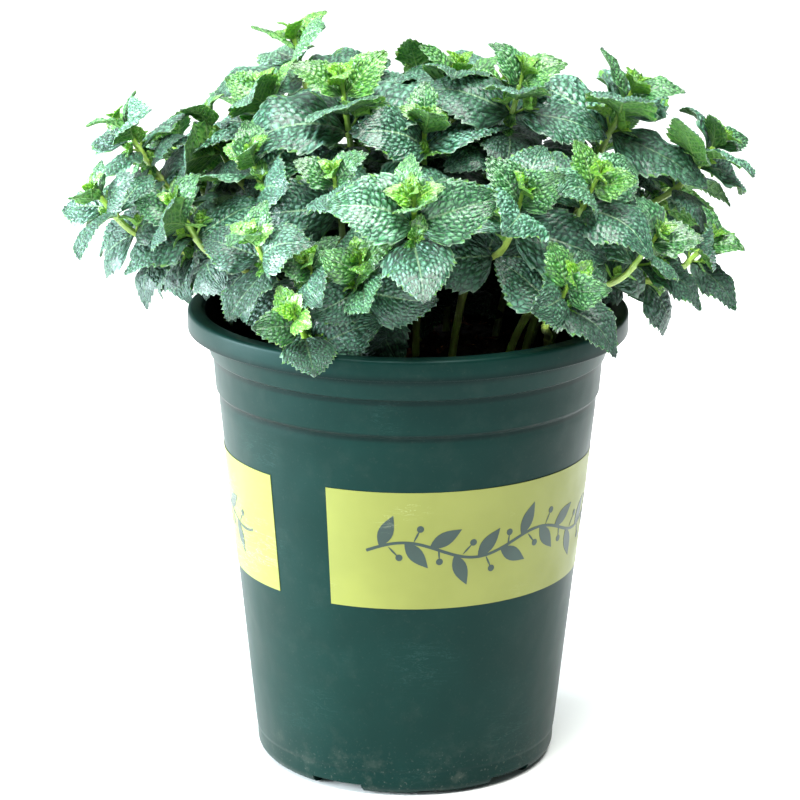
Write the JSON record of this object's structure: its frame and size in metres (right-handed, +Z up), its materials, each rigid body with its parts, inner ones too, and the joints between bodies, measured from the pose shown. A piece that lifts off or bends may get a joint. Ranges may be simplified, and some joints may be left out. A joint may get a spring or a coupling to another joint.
{
  "type": "potted mint plant",
  "caption": "Bushy mint plant with forked square stems and crinkled toothed leaves, growing in a tall tapered plastic nursery pot.",
  "frame": {"origin": "middle of the plant's box in plan, at the bottom of the ring that the pot stands on; the pot's own axis lies about 1 mm from it", "axes": "+Z up along the pot's axis, -Y the front, +X to the right seen from the front"},
  "size_m": [0.2627, 0.2115, 0.2871],
  "materials": {
    "pot_plastic": "semi-matt moulded dark blue-green plastic",
    "potting_mix": "damp dark potting mix with bark crumbs",
    "stem": "smooth pale olive green stalk",
    "leaf": "crinkled leaf with a soft satin sheen"
  },
  "bodies": {
    "root": {"leaves_01": "leaf", "leaves_02": "leaf", "leaves_03": "leaf", "leaves_04": "leaf", "leaves_05": "leaf", "leaves_06": "leaf", "leaves_07": "leaf", "leaves_08": "leaf", "leaves_09": "leaf", "leaves_10": "leaf", "leaves_11": "leaf", "leaves_12": "leaf", "leaves_13": "leaf", "leaves_14": "leaf", "leaves_15": "leaf", "leaves_16": "leaf", "leaves_17": "leaf", "leaves_18": "leaf", "leaves_19": "leaf", "leaves_20": "leaf", "leaves_21": "leaf", "leaves_22": "leaf", "leaves_23": "leaf", "leaves_24": "leaf", "leaves_25": "leaf", "leaves_26": "leaf", "leaves_27": "leaf", "leaves_28": "leaf", "leaves_29": "leaf", "leaves_30": "leaf", "leaves_31": "leaf", "leaves_32": "leaf", "leaves_33": "leaf", "leaves_34": "leaf", "leaves_35": "leaf", "leaves_36": "leaf", "leaves_37": "leaf", "pot": "pot_plastic", "soil": "potting_mix", "stem_01": "stem", "stem_02": "stem", "stem_03": "stem", "stem_04": "stem", "stem_05": "stem", "stem_06": "stem", "stem_07": "stem", "stem_08": "stem", "stem_09": "stem", "stem_10": "stem", "stem_11": "stem", "stem_12": "stem", "stem_13": "stem", "stem_14": "stem", "stem_15": "stem", "stem_16": "stem", "stem_17": "stem", "stem_18": "stem", "stem_19": "stem", "stem_20": "stem"}
  },
  "joints": []
}
